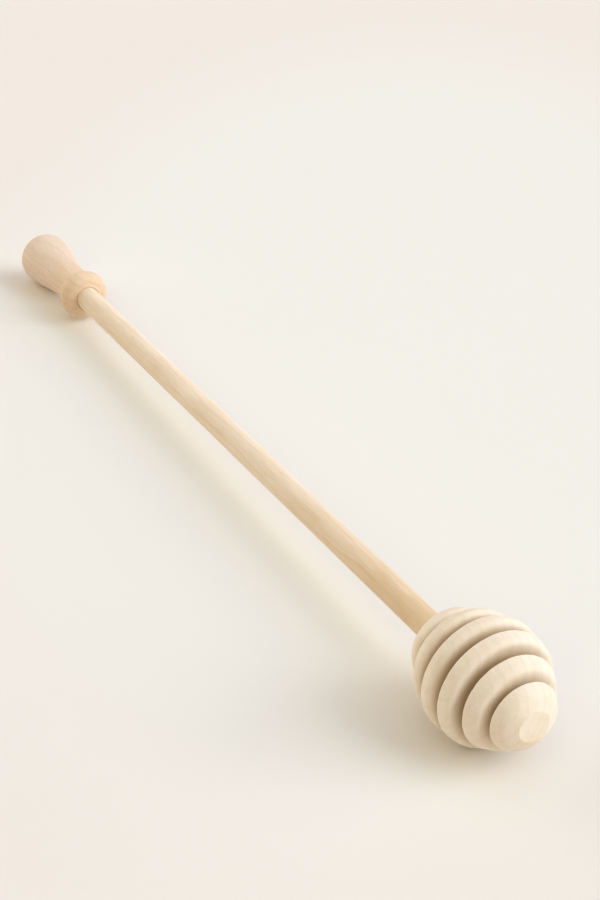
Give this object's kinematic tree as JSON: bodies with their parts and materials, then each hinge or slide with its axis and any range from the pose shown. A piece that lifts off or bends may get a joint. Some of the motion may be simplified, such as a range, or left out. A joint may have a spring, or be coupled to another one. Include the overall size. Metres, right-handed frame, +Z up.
{
  "type": "honey dipper",
  "caption": "Turned wooden honey dipper: an egg-shaped head with deep grooves that hold honey, on a plain dowel handle with a beaded end knob.",
  "frame": {"origin": "centre of the part's box on the table, the plane that its widest rib and its knob rest on", "axes": "+Z up; +X along the table towards the nose of the ribbed head, with the knob towards -X; the turning axis rises about 1.6 degrees towards +X"},
  "size_m": [0.2514, 0.0274, 0.0274],
  "materials": {
    "head_wood": "pale fine-grained hardwood, sanded, unvarnished",
    "dowel_wood": "yellow straight-grained dowel, sanded, unvarnished",
    "knob_wood": "pinkish fine-grained hardwood, sanded, unvarnished"
  },
  "bodies": {
    "root": {"dipper_head": "head_wood", "handle_dowel": "dowel_wood", "end_knob": "knob_wood"}
  },
  "joints": []
}
